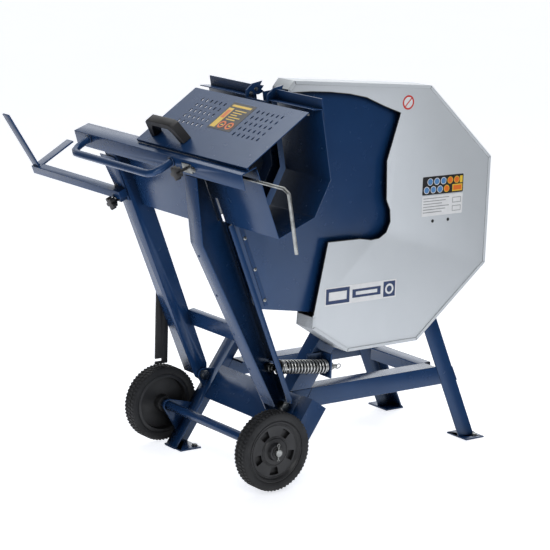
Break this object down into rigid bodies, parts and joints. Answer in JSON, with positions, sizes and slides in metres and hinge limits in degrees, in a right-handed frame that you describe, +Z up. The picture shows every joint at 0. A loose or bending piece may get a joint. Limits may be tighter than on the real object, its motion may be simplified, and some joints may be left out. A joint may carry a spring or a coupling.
{
  "type": "tilting-cradle log saw",
  "caption": "Free-standing electric log saw: angle-iron frame, cased circular blade, and a tilting V-trough cradle with lid, push handle, length stop and wheels.",
  "frame": {"origin": "centre of the bounding box in X and Y, on the floor plane", "axes": "+X operator's right, +Y the direction the cradle is pushed, +Z up"},
  "size_m": [1.2969, 1.1597, 1.115],
  "materials": {
    "blue_coat": "dark blue powder coat, semi-gloss",
    "silver_coat": "silver-grey powder coat, satin",
    "zinc_plate": "bright zinc plating",
    "spring_steel": "zinc-plated spring wire",
    "blade_steel": "ground steel",
    "motor_grey": "grey enamel on cast aluminium",
    "black_plastic": "moulded black plastic, fine grain",
    "black_coat": "black powder coat",
    "wheel_plastic": "moulded grey-black plastic",
    "tyre_rubber": "grey-black rubber tread",
    "green_plastic": "glossy green button",
    "red_plastic": "glossy red button"
  },
  "bodies": {
    "frame": {"front_leg_far": "blue_coat", "front_leg_near_upper": "blue_coat", "front_leg_near_lower": "blue_coat", "rear_leg_far": "blue_coat", "rear_leg_near": "blue_coat", "side_rail_far": "blue_coat", "side_rail_near": "blue_coat", "rear_cross_rail": "blue_coat", "top_cross_rail": "blue_coat", "pivot_crossmember": "blue_coat", "pivot_bolt_near": "zinc_plate", "pivot_bolt_far": "zinc_plate", "spring_bracket": "blue_coat", "return_spring": "spring_steel", "axle_bracket_far": "blue_coat", "axle_bracket_near": "blue_coat", "axle": "zinc_plate", "case_front": "silver_coat", "case_back": "silver_coat", "case_band": "silver_coat", "motor_plate": "blue_coat", "motor_body": "motor_grey", "motor_fan_cover": "motor_grey", "switch_box": "black_plastic", "power_inlet": "black_plastic"},
    "blade": {"saw_blade": "blade_steel", "blade_arbor": "blade_steel", "blade_flange": "blade_steel"},
    "near_wheel": {"wheel_near": "wheel_plastic", "tyre_near": "tyre_rubber"},
    "far_wheel": {"wheel_far": "wheel_plastic", "tyre_far": "tyre_rubber"},
    "cradle": {"cradle_leg_near": "blue_coat", "cradle_leg_far": "blue_coat", "cradle_crossbar": "blue_coat", "top_beam": "blue_coat", "front_panel": "blue_coat", "trough_far": "blue_coat", "trough_near": "blue_coat", "blade_guard_near": "blue_coat", "blade_guard_far": "blue_coat", "claw_strip_near": "blue_coat", "claw_strip_far": "blue_coat", "push_handle": "blue_coat", "arm_holder": "blue_coat", "lid_hinge_pin": "zinc_plate", "latch_pin": "zinc_plate", "rod_pin": "zinc_plate"},
    "lid": {"trough_lid": "blue_coat", "lid_grip": "black_plastic"},
    "length_stop": {"stop_rod": "zinc_plate"},
    "extension": {"extension_arm": "blue_coat"},
    "rod_clamp_knob": {"knob_rod": "black_plastic"},
    "arm_clamp_knob": {"knob_arm": "black_plastic"},
    "latch": {"latch_bar": "black_coat"},
    "rod": {"spring_rod": "zinc_plate"},
    "start": {"start_button": "green_plastic"},
    "stop": {"stop_button": "red_plastic"}
  },
  "joints": [
    {"name": "cradle_tilt", "type": "hinge", "parent": "frame", "child": "cradle", "pos_m": [0.21255, -0.1697, 0.2045], "axis": [-1, 0, 0], "range_deg": [0, 21], "stiffness_Nm_per_rad": 40, "springref_deg": -17.19, "deforming": ["return_spring"]},
    {"name": "spring_rod_swing", "type": "hinge", "parent": "cradle", "child": "rod", "pos_m": [0.22655, -0.2182, 0.322], "axis": [-1, 0, 0], "range_deg": [-17, 1]},
    {"name": "lid_hinge", "type": "hinge", "parent": "cradle", "child": "lid", "pos_m": [0.23055, -0.3072, 1.059], "axis": [1, 0, 0], "range_deg": [-110, 0]},
    {"name": "blade_spin", "type": "hinge", "parent": "frame", "child": "blade", "pos_m": [0.24355, 0.1338, 0.712], "axis": [1, 0, 0], "continuous": true},
    {"name": "near_wheel_spin", "type": "hinge", "parent": "frame", "child": "near_wheel", "pos_m": [0.32885, -0.2772, 0.1215], "axis": [1, 0, 0], "continuous": true},
    {"name": "far_wheel_spin", "type": "hinge", "parent": "frame", "child": "far_wheel", "pos_m": [-0.21975, -0.2772, 0.1215], "axis": [1, 0, 0], "continuous": true},
    {"name": "stop_rod_slide", "type": "slide", "parent": "cradle", "child": "length_stop", "axis": [1, 0, 0], "range_m": [-0.145, 0.15]},
    {"name": "extension_slide", "type": "slide", "parent": "cradle", "child": "extension", "axis": [1, 0, 0], "range_m": [0, 0.3]},
    {"name": "rod_knob_turn", "type": "hinge", "parent": "cradle", "child": "rod_clamp_knob", "pos_m": [0.23355, -0.537, 0.8886], "axis": [0, -0.9532, -0.3023], "range_deg": [0, 270]},
    {"name": "arm_knob_turn", "type": "hinge", "parent": "cradle", "child": "arm_clamp_knob", "pos_m": [-0.20045, -0.4609, 0.73], "axis": [0, -0.9202, -0.3914], "range_deg": [0, 270]},
    {"name": "latch_swing", "type": "hinge", "parent": "cradle", "child": "latch", "pos_m": [-0.22245, -0.2762, 0.455], "axis": [-1, 0, 0], "range_deg": [-20, 40]},
    {"name": "start_press", "type": "slide", "parent": "frame", "child": "start", "axis": [1, 0, 0], "range_m": [0, 0.004], "stiffness_N_per_m": 800, "springref_m": -0.001},
    {"name": "stop_press", "type": "slide", "parent": "frame", "child": "stop", "axis": [1, 0, 0], "range_m": [0, 0.004], "stiffness_N_per_m": 800, "springref_m": -0.001}
  ],
  "couplings": [
    {"joint": "spring_rod_swing", "follows": "cradle_tilt", "ratio": -0.736}
  ]
}
